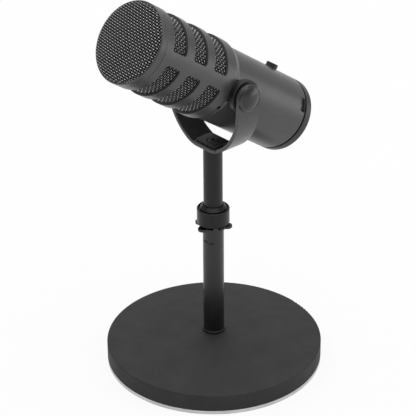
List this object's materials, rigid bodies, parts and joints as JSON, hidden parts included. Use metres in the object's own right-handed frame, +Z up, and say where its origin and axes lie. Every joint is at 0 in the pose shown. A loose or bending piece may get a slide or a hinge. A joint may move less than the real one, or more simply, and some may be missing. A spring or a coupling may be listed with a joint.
{
  "type": "desktop microphone",
  "caption": "Dynamic broadcast microphone in a U-shaped yoke that tilts and swivels on a height-adjustable column with a heavy round desk base.",
  "frame": {"origin": "centre of the base's underside, on the column's axis", "axes": "+Z up along the column, +X along the tilt pivot to the microphone's left-hand side; the microphone faces -Y at rest"},
  "size_m": [0.1822, 0.1972, 0.3434],
  "materials": {
    "base_paint": "fine-textured matte dark grey coating",
    "pad": "light grey soft foam rubber",
    "zinc_steel": "zinc-plated steel",
    "tube_paint": "satin black paint",
    "clutch_plastic": "moulded black nylon",
    "clip_plastic": "moulded black plastic",
    "nylon": "dark nylon",
    "black_steel": "black-oxide steel",
    "yoke_paint": "satin dark grey paint",
    "plate_paint": "satin black paint",
    "body_paint": "satin dark grey paint",
    "mesh_wire": "black coated woven wire",
    "foam": "black open-cell foam",
    "soft_rubber": "black rubber",
    "capsule_metal": "turned aluminium",
    "magnet_metal": "nickel-plated magnet",
    "copper": "enamelled copper winding",
    "film": "thin clear film",
    "panel_paint": "fine-textured black paint",
    "connector_metal": "bright nickel plate",
    "pin_metal": "plated brass",
    "board": "green solder resist",
    "chip": "black epoxy",
    "button_plastic": "semi-gloss black plastic",
    "slider_plastic": "black nylon",
    "boss_metal": "satin dark grey paint",
    "spacer_plastic": "black friction washer",
    "cap_plastic": "semi-gloss black moulding"
  },
  "bodies": {
    "stand": {"base_plate": "base_paint", "base_pad": "pad", "base_bolt": "zinc_steel", "base_washer": "zinc_steel", "tube_foot_plug": "zinc_steel", "tube_foot_ring": "tube_paint", "lower_tube": "tube_paint", "clutch_body": "clutch_plastic", "clutch_collet": "clutch_plastic", "cable_clip": "clip_plastic"},
    "collar": {"clutch_collar": "clutch_plastic"},
    "column": {"upper_tube": "tube_paint", "tube_end_cap": "clip_plastic", "tube_top_plug": "zinc_steel", "swivel_washer": "nylon", "swivel_screw": "black_steel"},
    "yoke": {"yoke": "yoke_paint", "yoke_mount_plate": "plate_paint"},
    "microphone": {"head_sleeve": "body_paint", "front_ring": "body_paint", "front_mesh": "mesh_wire", "side_mesh": "mesh_wire", "front_foam": "foam", "foam_liner": "foam", "grub_screws": "black_steel", "bulkhead": "nylon", "capsule_cradle": "nylon", "shock_rings": "soft_rubber", "capsule_housing": "capsule_metal", "capsule_grille": "capsule_metal", "magnet_cup": "zinc_steel", "magnet": "magnet_metal", "voice_coil": "copper", "diaphragm": "film", "body_shell": "body_paint", "rear_gasket": "soft_rubber", "rear_ring": "body_paint", "rear_panel": "panel_paint", "panel_screws": "black_steel", "xlr_shell": "connector_metal", "xlr_insert": "clip_plastic", "xlr_pins": "pin_metal", "main_board": "board", "board_posts": "pin_metal", "board_screws": "zinc_steel", "circuit_chips": "chip", "tact_switch": "chip", "usb_port": "connector_metal", "headphone_jack": "clip_plastic", "side_switch_block": "clip_plastic", "pivot_bosses": "boss_metal", "boss_nuts": "zinc_steel", "pivot_spacers": "spacer_plastic", "pivot_screws": "black_steel", "pivot_caps": "cap_plastic"},
    "mute": {"mute_button": "button_plastic"},
    "low_cut": {"low_cut_slider": "slider_plastic"},
    "presence": {"presence_slider": "slider_plastic"}
  },
  "joints": [
    {"name": "collar_twist", "type": "hinge", "parent": "stand", "child": "collar", "pos_m": [0, 0, 0.1382], "axis": [0, 0, 1], "range_deg": [0, 120]},
    {"name": "column_slide", "type": "slide", "parent": "stand", "child": "column", "axis": [0, 0, 1], "range_m": [-0.045, 0.045]},
    {"name": "yoke_swivel", "type": "hinge", "parent": "column", "child": "yoke", "pos_m": [0, 0, 0.2], "axis": [0, 0, 1], "continuous": true},
    {"name": "mic_tilt", "type": "hinge", "parent": "yoke", "child": "microphone", "pos_m": [0, 0, 0.2571], "axis": [1, 0, 0], "range_deg": [-5, 70]},
    {"name": "mute_press", "type": "slide", "parent": "microphone", "child": "mute", "axis": [0, -0.575, -0.8181], "range_m": [0, 0.0016], "stiffness_N_per_m": 1200, "springref_m": -0.0006},
    {"name": "low_cut_slide", "type": "slide", "parent": "microphone", "child": "low_cut", "axis": [0, 0.8181, -0.575], "range_m": [0, 0.0016]},
    {"name": "presence_slide", "type": "slide", "parent": "microphone", "child": "presence", "axis": [0, 0.8181, -0.575], "range_m": [0, 0.0016]}
  ]
}
